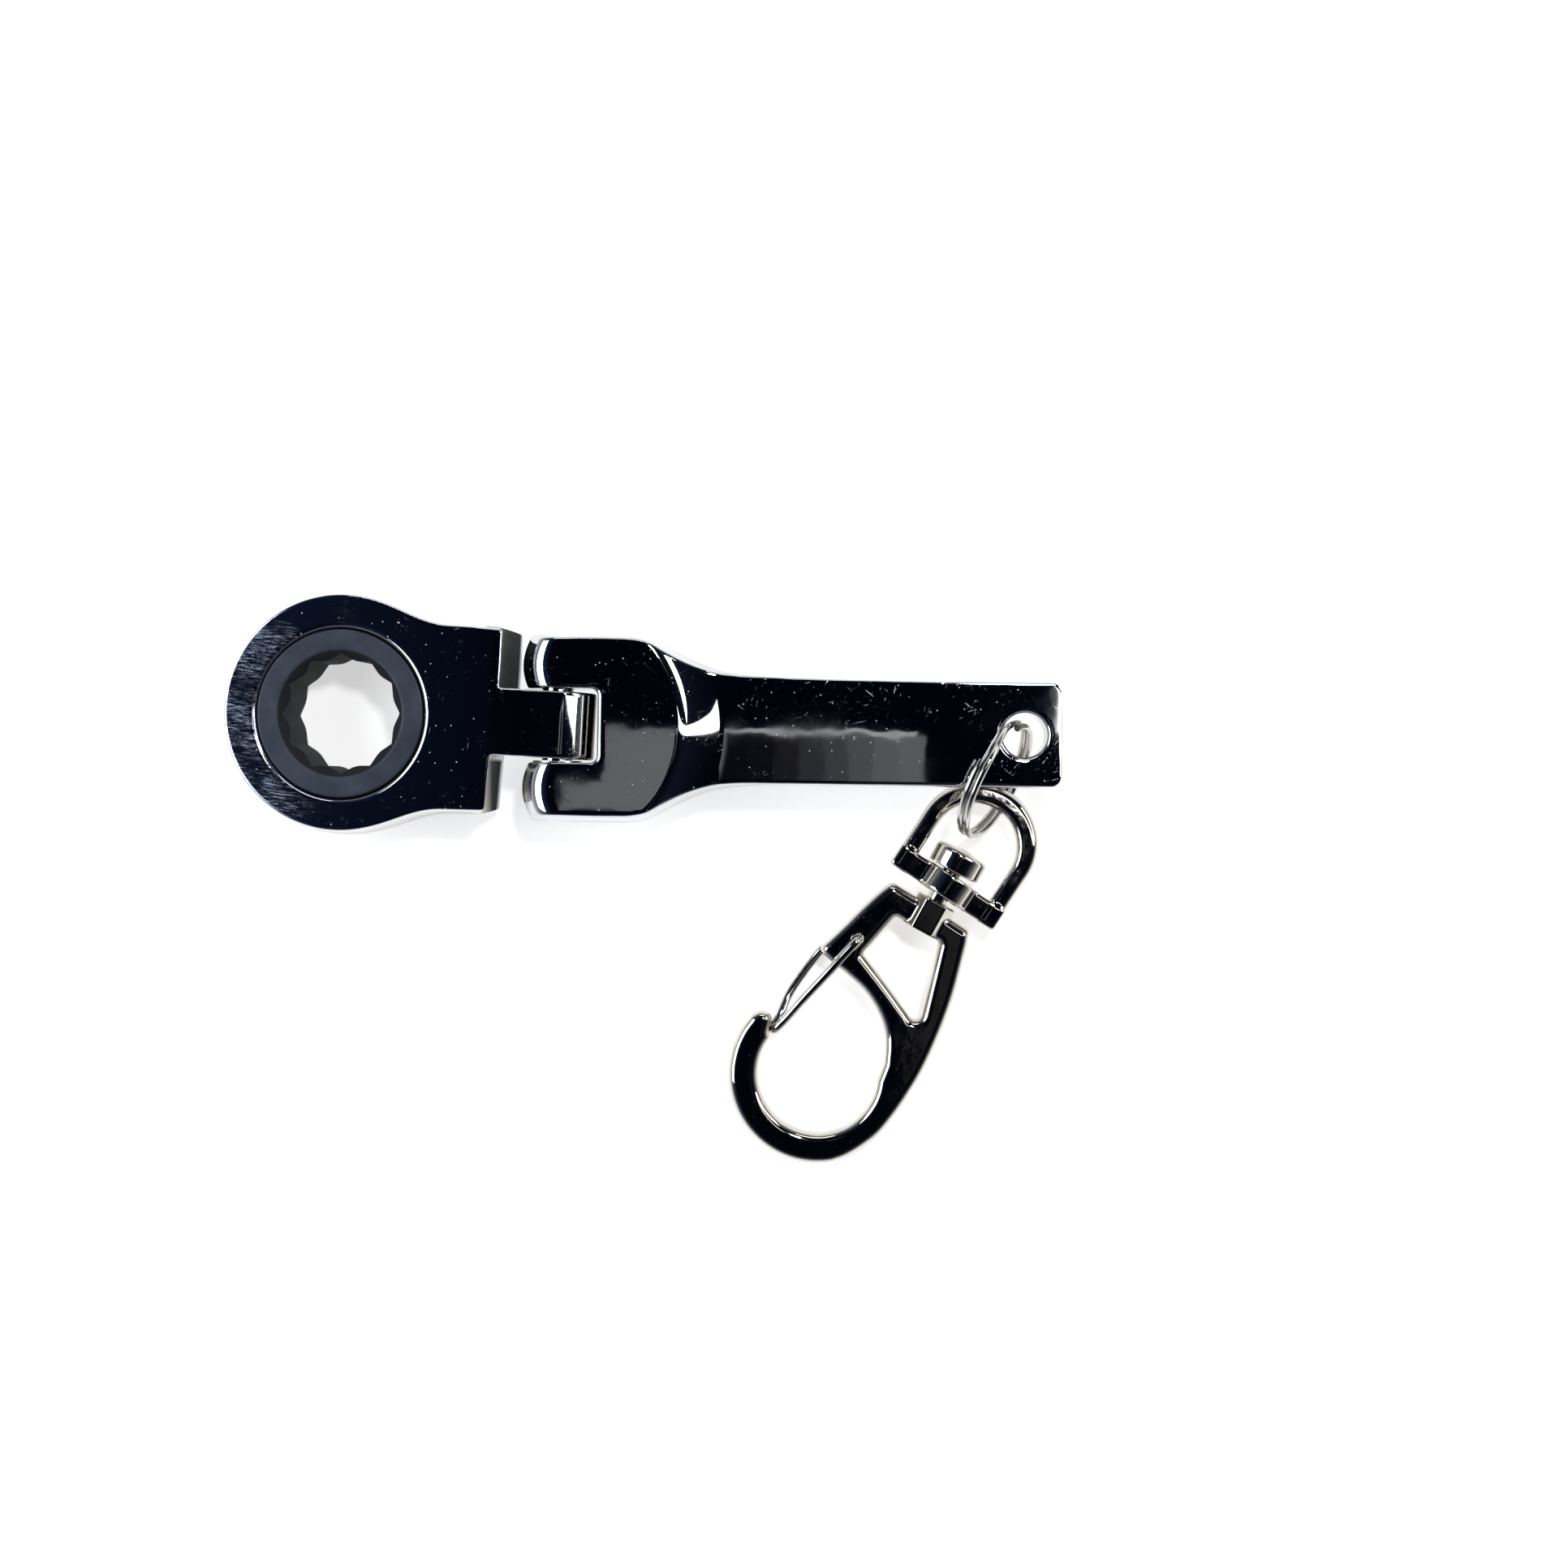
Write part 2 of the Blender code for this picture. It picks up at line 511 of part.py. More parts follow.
chrome = material("polished_chrome", (0.75, 0.77, 0.80), 0.06)
phosphate = material("dark_phosphate", (0.045, 0.05, 0.062), 0.45)
steel = material("bright_steel", (0.6, 0.6, 0.6), 0.2)
nickel = material("nickel_chrome", (0.72, 0.70, 0.66), 0.1)

handle_frame = new_frame("handle_frame", None, (HINGE_X, HINGE_Y, HINGE_Z))
flex_frame = new_frame("flex_frame", handle_frame, (0, 0, 0), (0, FLEX_AT_REST, 0))
head_frame = new_frame("head_frame", flex_frame, (0, HEAD_SHIFT, 0), (0, 0, HEAD_YAW))
drive_frame = frame_of_ring(head_frame, "drive_frame")
ring_frame = new_frame("ring_frame", handle_frame, (RING_X, RING_Y, -RING_DROP), (90 + RING_LEAN, 0, RING_HEADING))
clip_frame = new_frame("clip_frame", None, (HINGE_X + CLIP_X, HINGE_Y + CLIP_Y, CLIP_Z), (0, CLIP_PITCH, CLIP_HEADING))
bow_frame = new_frame("bow_frame", clip_frame, (0, BOW_SHIFT, 0), (0, BOW_DIP, BOW_LEAN))
gate_frame = new_frame("gate_frame", clip_frame, (GATE_X, GATE_Y, 0))

make_head_body(head_frame, chrome)
make_drive_ring(drive_frame, phosphate)
make_pawl(drive_frame, steel)
make_pawl_spring(drive_frame, steel)
make_retaining_ring(drive_frame, steel)
make_handle(handle_frame, chrome)
make_hinge_pin(handle_frame, steel)
make_friction_washer(handle_frame, steel)
make_split_ring(ring_frame, steel)
make_swivel_bow(bow_frame, nickel)
make_swivel_stud(clip_frame, nickel)
make_hook_body(clip_frame, nickel)
make_wire_gate(gate_frame, steel)
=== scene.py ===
"""Looks of the flex-head ratcheting bleed key: polished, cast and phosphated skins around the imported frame.

The solid pieces that show are zero surfaces of signed distance fields in millimetres, each in the frame of
its body, so that every edge has its real fillet and the chrome reflects as one continuous surface. The wires
are swept round. The pawl, retaining ring, hinge pin and washer keep their CAD shapes."""

import json
import math

import bpy
import numpy as np
from mathutils import Matrix, Vector


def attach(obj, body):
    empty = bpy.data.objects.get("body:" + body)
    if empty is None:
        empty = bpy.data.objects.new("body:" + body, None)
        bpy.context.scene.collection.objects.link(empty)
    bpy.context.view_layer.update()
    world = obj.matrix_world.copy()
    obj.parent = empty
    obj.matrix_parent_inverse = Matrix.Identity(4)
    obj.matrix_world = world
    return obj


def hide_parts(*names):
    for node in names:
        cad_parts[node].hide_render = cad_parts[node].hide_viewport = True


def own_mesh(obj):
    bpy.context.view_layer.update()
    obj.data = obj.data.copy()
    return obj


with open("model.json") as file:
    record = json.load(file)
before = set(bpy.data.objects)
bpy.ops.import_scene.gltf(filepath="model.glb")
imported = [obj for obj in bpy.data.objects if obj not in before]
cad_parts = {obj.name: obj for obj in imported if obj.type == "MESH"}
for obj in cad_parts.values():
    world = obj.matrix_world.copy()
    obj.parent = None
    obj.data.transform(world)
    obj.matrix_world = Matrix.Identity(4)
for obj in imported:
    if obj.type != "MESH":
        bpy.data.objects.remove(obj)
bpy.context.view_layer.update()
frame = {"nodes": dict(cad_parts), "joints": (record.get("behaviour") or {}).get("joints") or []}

MM = 0.001
JOINTS = {joint["name"]: joint for joint in frame["joints"]}


# --- frames of the bodies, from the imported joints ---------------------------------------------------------
def axes_at(origin, x_axis, z_axis):
    """A frame in millimetres with this X axis, and its Z axis as near as possible to the one given."""
    x = Vector(x_axis).normalized()
    y = Vector(z_axis).cross(x).normalized()
    turn = Matrix((x, y, x.cross(y))).transposed().to_4x4()
    return Matrix.Translation(origin) @ turn @ Matrix.Scale(MM, 4)


def turned(degrees, axis):
    return Matrix.Rotation(math.radians(degrees), 4, axis)


HINGE = Vector(JOINTS["flex_hinge"]["pos_m"])
RING_CENTRE = Vector(JOINTS["drive_spin"]["pos_m"])
HEAD_SHIFT = Vector((0, 0.12, 0)) * MM                    # the washer pushes the tang off centre
BOW_PLACE = Matrix.Translation((0, 0.3, 0)) @ turned(-5, "Z") @ turned(-4.5, "Y")    # it sits a little askew
RING_PLACE = HINGE + Vector((42.4, -4.5, -0.3)) * MM
RING_HEADING, RING_LEAN = -117, 21

HANDLE = axes_at(HINGE, (1, 0, 0), (0, 0, 1))
HEAD = axes_at(HINGE + HEAD_SHIFT, HINGE + HEAD_SHIFT - RING_CENTRE, JOINTS["drive_spin"]["axis"])
REACH = (HINGE + HEAD_SHIFT - RING_CENTRE).length / MM    # hinge to the drive ring's centre
DRIVE = HEAD @ Matrix.Translation((-REACH, 0, 0))
CLIP = axes_at(JOINTS["clip_swivel"]["pos_m"], JOINTS["clip_swivel"]["axis"], JOINTS["gate_hinge"]["axis"])
BOW = CLIP @ BOW_PLACE
RING = (Matrix.Translation(RING_PLACE) @ turned(RING_HEADING, "Z") @ turned(90 + RING_LEAN, "X")
        @ Matrix.Scale(MM, 4))


# --- distance fields: negative inside ----------------------------------------------------------------------
def both(a, b, fillet):
    """Intersection with a round edge."""
    u, v = a + fillet, b + fillet
    return np.minimum(np.maximum(u, v), 0) + np.hypot(np.maximum(u, 0), np.maximum(v, 0)) - fillet


def either(a, b, fillet):
    """Union with a round inner corner."""
    return -both(-a, -b, fillet)


def blended(a, b, width):
    """Union that flows together over this width."""
    mix = np.maximum(width - np.abs(a - b), 0) / width
    return np.minimum(a, b) - mix * mix * width / 4


def step_up(start, end, t):
    """From 0 at the start to 1 at the end, level at both."""
    s = np.clip((t - start) / (end - start), 0, 1)
    return s * s * (3 - 2 * s)


def through(xs, ys, t):
    """A smooth curve through the points (Catmull-Rom slopes)."""
    xs, ys = np.array(xs, float), np.array(ys, float)
    slope = np.gradient(ys, xs)
    i = np.clip(np.searchsorted(xs, t) - 1, 0, len(xs) - 2)
    span = xs[i + 1] - xs[i]
    s = np.clip((t - xs[i]) / span, 0, 1)
    return ((2 * s ** 3 - 3 * s ** 2 + 1) * ys[i] + (s ** 3 - 2 * s ** 2 + s) * span * slope[i]
            + (3 * s ** 2 - 2 * s ** 3) * ys[i + 1] + (s ** 3 - s ** 2) * span * slope[i + 1])


def rounded_box(u, v, half_u, half_v, corner):
    """Signed distance to a rectangle round the origin with this corner radius."""
    du, dv = np.abs(u) - half_u + corner, np.abs(v) - half_v + corner
    return np.hypot(np.maximum(du, 0), np.maximum(dv, 0)) + np.minimum(np.maximum(du, dv), 0) - corner


def polygon(outline, x, y):
    """Signed distance to a closed outline, negative inside, on an open grid."""
    nearest = np.full(np.broadcast(x, y).shape, 1e9)
    inside = np.zeros(nearest.shape, bool)
    for (ax, ay), (bx, by) in zip(outline, outline[1:] + outline[:1]):
        ex, ey = bx - ax, by - ay
        t = np.clip(((x - ax) * ex + (y - ay) * ey) / (ex * ex + ey * ey), 0, 1)
        nearest = np.minimum(nearest, (x - ax - t * ex) ** 2 + (y - ay - t * ey) ** 2)
        if ay != by:
            inside ^= ((y < ay) != (y < by)) & (x < ax + (y - ay) * ex / ey)
    return np.where(inside, -1, 1) * np.sqrt(nearest)


def arc(centre_x, centre_y, radius, start, end, count):
    """Points on a circle between two angles in degrees."""
    angles = np.radians(np.linspace(start, end, count))
    return [(centre_x + radius * math.cos(a), centre_y + radius * math.sin(a)) for a in angles]


def smooth(points, per_span=8):
    """A Catmull-Rom curve through the points, ends included."""
    vectors = [Vector(p) for p in points]
    padded = [2 * vectors[0] - vectors[1], *vectors, 2 * vectors[-1] - vectors[-2]]
    found = []
    for a, b, c, d in zip(padded, padded[1:], padded[2:], padded[3:]):
        for step in range(per_span):
            t = step / per_span
            found.append(tuple(0.5 * (2 * b + (c - a) * t + (2 * a - 5 * b + 4 * c - d) * t * t
                                      + (3 * b - a - 3 * c + d) * t ** 3)))
    return found + [tuple(vectors[-1])]


# --- from field or path to piece --------------------------------------------------------------------------
def sample(grid, at):
    """Trilinear reading of a grid at points in grid units."""
    base = np.clip(np.floor(at).astype(int), 0, np.array(grid.shape[:3]) - 2)
    part = at - base
    total = 0
    for corner in np.ndindex(2, 2, 2):
        weight = np.prod(np.where(corner, part, 1 - part), axis=1)
        value = grid[tuple((base + corner).T)]
        total = total + (weight if value.ndim == 1 else weight[:, None]) * value
    return total


def skin(name, field, low, high, step, place, finish, body, nodes):
    """Polygonises the field by surface nets, then puts each point on the surface, with the field's slope as
    its normal."""
    x, y, z = np.meshgrid(*[np.arange(a - 2 * step, b + 3 * step, step) for a, b in zip(low, high)],
                          indexing="ij", sparse=True)
    f = np.ascontiguousarray(np.broadcast_to(field(x, y, z), np.broadcast(x, y, z).shape), np.float32)
    inner = f < 0
    cells = tuple(n - 1 for n in f.shape)
    window = {c: tuple(slice(o, o + n) for o, n in zip(c, cells)) for c in np.ndindex(2, 2, 2)}
    count = sum(inner[w].astype(np.int8) for w in window.values())
    mixed = (count > 0) & (count < 8)
    cell = np.argwhere(mixed)
    number = np.full(cells, -1, np.int32)
    number[mixed] = np.arange(len(cell))

    total, crossings = np.zeros((len(cell), 3)), np.zeros(len(cell))
    quads = []
    for axis in range(3):
        others = [k for k in range(3) if k != axis]
        for corner in np.ndindex(2, 2):
            start = np.zeros(3, int)
            start[others] = corner
            end = start.copy()
            end[axis] = 1
            f0, f1 = f[tuple((cell + start).T)], f[tuple((cell + end).T)]
            hit = (f0 < 0) != (f1 < 0)
            t = np.where(hit, f0 / np.where(hit, f0 - f1, 1), 0)
            point = start + t[:, None] * (end - start)
            total += np.where(hit[:, None], point, 0)
            crossings += hit
        near = np.take(inner, range(f.shape[axis] - 1), axis)
        far = np.take(inner, range(1, f.shape[axis]), axis)
        edge = np.argwhere(near != far)
        edge = edge[(edge[:, others] > 0).all(1) & (edge[:, others] < np.array(cells)[others]).all(1)]
        corners = []
        for back in ((1, 1), (0, 1), (0, 0), (1, 0)):
            c = edge.copy()
            c[:, others] -= back
            corners.append(number[tuple(c.T)])
        loop = np.stack(corners, 1)
        outwards = near[tuple(edge.T)] ^ (axis == 1)
        quads.append(np.where(outwards[:, None], loop, loop[:, ::-1]))

    at = cell + total / crossings[:, None]
    slope = np.stack(np.gradient(f, step), -1)
    for _ in range(2):
        value, way = sample(f, at), sample(slope, at)
        move = value[:, None] * way / np.maximum((way * way).sum(1), 0.05)[:, None] / step
        at = at - np.clip(move, -0.5, 0.5)
    normals = sample(slope, at)
    normals /= np.maximum(np.linalg.norm(normals, axis=1), 1e-6)[:, None]
    points = at * step + np.array([x.min(), y.min(), z.min()])

    world = np.array(place)
    points = points @ world[:3, :3].T + world[:3, 3]
    normals = normals @ (world[:3, :3].T / MM)
    mesh = bpy.data.meshes.new(name)
    mesh.from_pydata(points, [], np.concatenate(quads).tolist())
    mesh.update()
    mesh.shade_smooth()
    mesh.normals_split_custom_set_from_vertices(normals)
    return dress(bpy.data.objects.new(name, mesh), finish, body, nodes)


def dress(piece, finish, body, nodes):
    """Gives a piece its material, its body and the CAD nodes that it stands for."""
    bpy.context.scene.collection.objects.link(piece)
    piece.data.materials.append(finish)
    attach(piece, body)
    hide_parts(*nodes)
    return piece


def wire(name, path, thick, place, finish, body, nodes, sides=10, as_mesh=False):
    """A round wire with cut ends."""
    curve = bpy.data.curves.new(name, "CURVE")
    curve.dimensions = "3D"
    curve.bevel_depth = thick / 2 * MM
    curve.bevel_resolution = sides
    curve.use_fill_caps = True
    run = curve.splines.new("POLY")
    run.points.add(len(path) - 1)
    for point, spot in zip(run.points, path):
        point.co = (*(place @ Vector(spot)), 1)
    run.use_smooth = True
    piece = bpy.data.objects.new(name, curve)
    if as_mesh:
        piece = bpy.data.objects.new(name, bpy.data.meshes.new_from_object(piece))
    return dress(piece, finish, body, nodes)


# --- sizes in millimetres ---------------------------------------------------------------------------------
HEAD_HALF, HEAD_RADIUS, HEAD_CROWN = 3.7, 11.3, 0.36      # the walls are crowned between the flat faces
TANG_HALF_WIDTH, TANG_END, SHOULDER_RADIUS = 3.22, 3.63, 6.65
RING_HALF, RING_RADIUS, HALF_ACROSS_FLATS = 3.65, 8.08, 5
FORK_HALF, SHANK_HALF, FORK_CROWN = 3.4, 2.1, 0.68
RIDGE, SCOOP = 11.9, 4.9                                  # where the flat face ends, and the run beyond it
EAR_REACH, SLOT_HALF_WIDTH, SLOT_ROOT = 3.35, 3.55, 4.05
SHANK_END, EYE_X, EYE_Y, EYE_RADIUS = 48.6, 45, -0.2, 2.15
BOW_CENTRE, BOW_RADIUS = -4.95, 5.08                      # of the middle line of the arch
BARREL_RADIUS, BUTTON_RADIUS, RIVET_RADIUS = 2.7, 2.7, 1.0
HOOK_HALF, BOSS_X = 1.5, 3.35
PIVOT_X, PIVOT_Y, PIVOT_RADIUS = 8.65, -5.0, 0.55         # the gate's hole in the left leg
GATE_WIRE, RING_WIRE, SPRING_WIRE = 0.9, 0.64, 0.32


# --- the pieces: x along each, z out of its face ----------------------------------------------------------
def ratchet_head(x, y, z):
    """The ring head, its neck and tang. The hinge is the origin, and cx is counted from the ring's centre."""
    cx = x + REACH
    mid_y = 0.1 + 0.1 * step_up(-16, -8, x)
    disc = np.hypot(cx, y - mid_y) - HEAD_RADIUS
    neck_half = through([-20, -14, -10, -7, -4], [9.2, 8.85, 8.8, 8.72, 8.55], x)
    neck = np.maximum(np.abs(y - mid_y) - neck_half, -cx)
    crown = HEAD_CROWN + 0.12 * step_up(2, -6, y)
    side = blended(disc, neck, 2.3) - crown * (1 - (z / HEAD_HALF) ** 2)
    top = HEAD_HALF - 0.3 * step_up(-6, 0, x)
    tang_tip = rounded_box(x + 50 - TANG_END, z, 50, top, 3.3)
    body = both(both(side, np.abs(z) - top, 0.14), tang_tip, 0.05)

    # a hollow round the hinge, on each side of the tang
    slant = through([-9, -3, 3, 9], [-0.35, -0.1, 0.42, 0.48], y)
    slant = slant + 0.7 * step_up(0.5, 2.5, y) * step_up(1, -3.4, z)
    beside_tang = TANG_HALF_WIDTH - np.abs(y - 0.05)
    hollow = both(np.hypot(np.minimum(x - slant, 0), z) - SHOULDER_RADIUS, beside_tang, 0.12)
    body = both(body, -np.where(x > slant, np.minimum(hollow, beside_tang), hollow), 0.2)

    # the seats of the hidden pieces
    r = np.hypot(cx, y)
    bore = np.maximum(RING_RADIUS + 0.1 - r, np.minimum(9.2 - r, 2.45 - z))
    chamfer = (RING_RADIUS + 0.42 - r - (HEAD_HALF - z)) / math.sqrt(2)
    groove = np.minimum(9.75 - r, 0.42 - np.abs(z + 2.75))
    pocket = np.minimum(np.minimum(13.05 - cx, cx - 7), np.minimum(3.1 - np.abs(y), 1.9 - np.abs(z)))
    spring_hole = np.minimum(np.minimum(15.3 - cx, cx - 11), 1.12 - np.hypot(y, z))
    pin_hole = np.minimum(1.75 - np.hypot(x, z), 4 - np.abs(y))
    body = both(body, bore, 0.06)
    body = both(body, chamfer, 0.12)
    for seat in (groove, pocket, spring_hole, pin_hole):
        body = np.maximum(body, seat)
    return body


def toothed_ring(x, y, z):
    """The drive ring: 72 teeth outside, and two hexagons 30 degrees apart inside."""
    r, a = np.hypot(x, y), np.arctan2(y, x)
    teeth = 8.92 + 0.17 * np.cos(72 * a)
    outer = np.maximum(r - teeth, np.abs(z) - 2.3)
    body = np.minimum(outer, both(r - RING_RADIUS, np.abs(z) - RING_HALF, 0.12))
    hexagons = []
    for tilt in (0, 30):
        normals = [math.radians(tilt + 60 * k + 33) for k in range(3)]
        flats = [np.abs(x * math.cos(b) + y * math.sin(b)) for b in normals]
        hexagons.append(np.maximum.reduce(flats) - HALF_ACROSS_FLATS)
    opening = either(hexagons[0], hexagons[1], 0.25)
    lead_in = (r - 6.1 + (RING_HALF - np.abs(z)) * 1.1) / 1.49
    return both(both(body, -opening, 0.08), -lead_in, 0.1)


def fork_and_shank(x, y, z):
    """The two-eared fork, the scooped waist and the flat shank with its eye."""
    half_width = through(
        [-6, -3.2, -1.5, 1, 5.7, 7.3, 8.9, 10.4, 12, 13.6, 15.1, 16.7, 18.3, 20.5, 24.5, 31, 44, 50],
        [8.6, 8.8, 9.05, 9.12, 9.14, 9.1, 8.78, 8.04, 7.21, 6.47, 5.92, 5.61, 5.42, 5.28, 5.2,
         5.16, 5.14, 5.13], x)
    mid_y = -0.16 * step_up(12, 30, x)
    lean = through([5, 9, 12, 16, 21], [0, 0.33, 0.5, 0.2, 0], x)
    drop = FORK_HALF - SHANK_HALF
    scoop_radius = (SCOOP ** 2 + drop ** 2) / (2 * drop)
    run = np.clip(RIDGE + SCOOP - np.hypot(x, y), 0, scoop_radius * 0.8)
    scoop = SHANK_HALF + scoop_radius - np.sqrt(scoop_radius ** 2 - run ** 2)
    steep = np.sqrt(1 + (run / scoop_radius) ** 2)
    crown = 0.14 + (FORK_CROWN - 0.14) * step_up(22, 11, x)
    level = (z / np.minimum(scoop, FORK_HALF)) ** 2
    side = (np.abs(y - mid_y) - half_width) / np.sqrt(1 + lean ** 2) + crown * level
    body = both(side, x - SHANK_END + 0.05 * level, 1.0)
    body = both(body, (np.abs(z) - scoop) / steep, 0.11)
    body = both(body, np.abs(z) - FORK_HALF, 0.15)
    ears = rounded_box(x - 60, z, 60 + EAR_REACH - 0.1 * (np.abs(y) - 5.9) ** 2, FORK_HALF, 3.2)
    body = both(body, ears, 0.25)

    slot = both(np.abs(y - 0.12) - SLOT_HALF_WIDTH, x - SLOT_ROOT, 0.7)
    body = both(body, -slot, 0.13 + 0.4 * step_up(2.8, 4.0, x))
    body = np.maximum(body, 1.55 - np.hypot(x, z))
    return both(body, EYE_RADIUS - np.hypot(x - EYE_X, y - EYE_Y), 0.42)


def cast_bow(x, y, z):
    """A D of rounded bar, with a barrel in its straight side for the rivet."""
    from_centre = np.where(x < BOW_CENTRE, np.hypot(x - BOW_CENTRE, y), np.abs(y))
    half = 0.92 + 0.15 * step_up(-4, -9, x)
    loop = both(rounded_box(np.abs(from_centre - BOW_RADIUS), z, half, 1.0, 0.72), x - 1.12, 0.18)
    bar = both(rounded_box(x, z, 1.13, 1.08, 0.3), np.abs(y) - 6.0, 0.3)
    barrel = both(np.hypot(y, z) - BARREL_RADIUS, np.abs(x) - 1.15, 0.25)
    body = either(either(loop, bar, 0.3), barrel, 0.25)
    return both(body, np.minimum(1.55 - np.hypot(y, z), x + 3), 0.12)


def button_stud(x, y, z):
    """The rivet that joins bow and hook, with its domed button."""
    r = np.hypot(y, z)
    dome = x + 4.0 - 0.05 * r ** 2
    button = both(both(r - BUTTON_RADIUS, -dome, 0.35), x + 1.65, 0.2)
    rivet = both(r - RIVET_RADIUS, x - 4.95, 0.05)
    return either(button, np.maximum(rivet, -3 - x), 0.15)


def hook_outline():
    """Counted from the bow: down the left leg, round the bowl to the nose, back round the outside."""
    left_leg = smooth([(2.2, -4.3), (2.65, -4.95), (4.8, -5.8), (8.05, -6.77), (10.75, -7.65)])
    leg_end = smooth([(11.15, -7.65), (11.45, -7.35), (11.9, -6.0)], 4)
    strut = smooth([(12.1, -4.6), (12.8, -1.95), (14.1, 0.35), (15.85, 2.05), (18.55, 3.35)])[:-1]
    bowl = arc(22.2, -2.1, 5.95, 112, -98, 70)
    nose = smooth([(20.95, -8.3), (19.75, -8.65), (19.3, -9.2), (19.5, -10.0), (20.2, -10.5)], 5)
    outside = arc(22.3, -2.1, 8.65, -95, 34, 70)
    right_leg = smooth([(29.1, 3.25), (28.0, 4.2), (26.3, 5.2), (23.95, 6.1),
                        (19.9, 6.65), (15.6, 6.7), (9.7, 6.0), (3.9, 4.6)])
    top = [(3.1, 4.3), (2.85, 4.0), (2.35, -1.6)]
    return left_leg + leg_end + strut + bowl + nose + outside + right_leg + top


def hook_window():
    """The three-cornered opening between the legs and the strut."""
    left_side = [(4.9, -2.65), (5.1, -2.9), (9.4, -3.85), (9.8, -3.8)]
    strut_side = smooth([(9.95, -3.45), (11.4, -0.2), (12.8, 2.7)])
    corner = arc(12.35, 3.4, 0.75, -30, 110, 10)
    return left_side + strut_side + corner + [(5.4, 2.3), (5.1, 2.05)]


def snap_hook(x, y, z):
    """The flat hook with its window, its eight-sided boss for the rivet and the gate's hole."""
    flat_x, flat_y = x[:, :, 0], y[:, :, 0]
    plan = polygon(hook_outline(), flat_x, flat_y)
    window = polygon(hook_window(), flat_x, flat_y)
    walls = both(plan, -window, 0.1)[:, :, None] + 0.22 * (z / HOOK_HALF) ** 2 - 0.1
    body = both(walls, np.abs(z) - HOOK_HALF, 0.6)
    flats = np.maximum(np.abs(y), np.abs(z)) - 1.98
    facets = (np.abs(y) + np.abs(z)) / math.sqrt(2) - 2.12
    boss = both(np.maximum(flats, facets), np.abs(x - BOSS_X) - 1.65, 0.12)
    body = either(body, boss, 0.12)
    body = both(body, PIVOT_RADIUS - np.hypot(x - PIVOT_X, y - PIVOT_Y), 0.1)
    return np.maximum(body, np.minimum(1.1 - np.hypot(y, z), 5 - x))


def gate_path():
    """A hairpin with both ends in the pivot hole: over the leg, along to the nose, and back underneath."""
    over = 2.05
    route = [(0, 0, 0.65), (0, 0, over - 0.35), (0.35, -0.08, over), (2.0, -0.5, over),
             (4.3, -1.07, over - 0.05), (7.65, -1.9, over - 0.55), (10.2, -2.45, over - 1.2),
             (11.5, -2.8, 0.5), (11.85, -2.95, 0), (11.5, -3.0, -0.5),
             (10.2, -3.05, 1.2 - over), (7.95, -3.2, 0.45 - over), (4.3, -2.75, -over),
             (2.4, -2.2, -over), (0.5, -0.45, -over), (0, 0, 0.35 - over), (0, 0, -0.65)]
    return [(PIVOT_X + x, PIVOT_Y + y, z) for x, y, z in smooth(route, 10)]


def ring_path():
    """Two turns of wire side by side, which cross over halfway."""
    pitch, radius, split, crossover = 0.69, 5.87, 125, 24
    angles = np.linspace(crossover + 3, 720 - crossover - 3, 420)
    side = pitch / 2 * np.sin(np.clip((angles - 360) / crossover, -1, 1) * math.pi / 2)
    turn = np.radians(angles + split)
    return list(zip(radius * np.cos(turn), radius * np.sin(turn), side))


def coil_spring():
    """The pawl's spring, a coil of five turns."""
    near, far, radius, turns, travel, per_turn = 11.61, 15.04, 0.85, 5, 0.45, 24
    coil = []
    for k in range(per_turn * turns + 1):
        a = 2 * math.pi * k / per_turn
        x = near + (far - near) * k / (per_turn * turns)
        coil.append((x, radius * math.cos(a), radius * math.sin(a)))
    spring = wire("key_pawl_spring", coil, SPRING_WIRE, DRIVE, steel, "head", ["pawl_spring"],
                  sides=2, as_mesh=True)
    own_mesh(spring)


# --- materials --------------------------------------------------------------------------------------------
# the last of these is a painted reflection: a darker, warmer colour for the walls
CHROME, PALE_MARKS, PAINTED_WALL_REFLECTION = (0.56, 0.57, 0.60), (0.85, 0.88, 0.95), (0.38, 0.365, 0.325, 1)
# the first is a painted blue-grey reflection for rubbed streaks; the second is painted shade for the hollows
# beside the tang
PAINTED_BLUE_GREY_REFLECTION, PAINTED_HOLLOW_SHADE = (0.26, 0.40, 0.72, 1), (0.02, 0.021, 0.021, 1)
NICKEL = ((0.56, 0.54, 0.49), (0.50, 0.48, 0.43))
STEEL = ((0.47, 0.46, 0.44), (0.58, 0.57, 0.55))
# the second colour is painted shade, near black, for inside the opening
PHOSPHATE, PAINTED_SHADE_INSIDE = ((0.024, 0.031, 0.048), (0.044, 0.054, 0.078)), (0.004, 0.006, 0.009, 1)
FLOOR_PALE = ((0.86, 0.86, 0.86), (0.88, 0.88, 0.88))


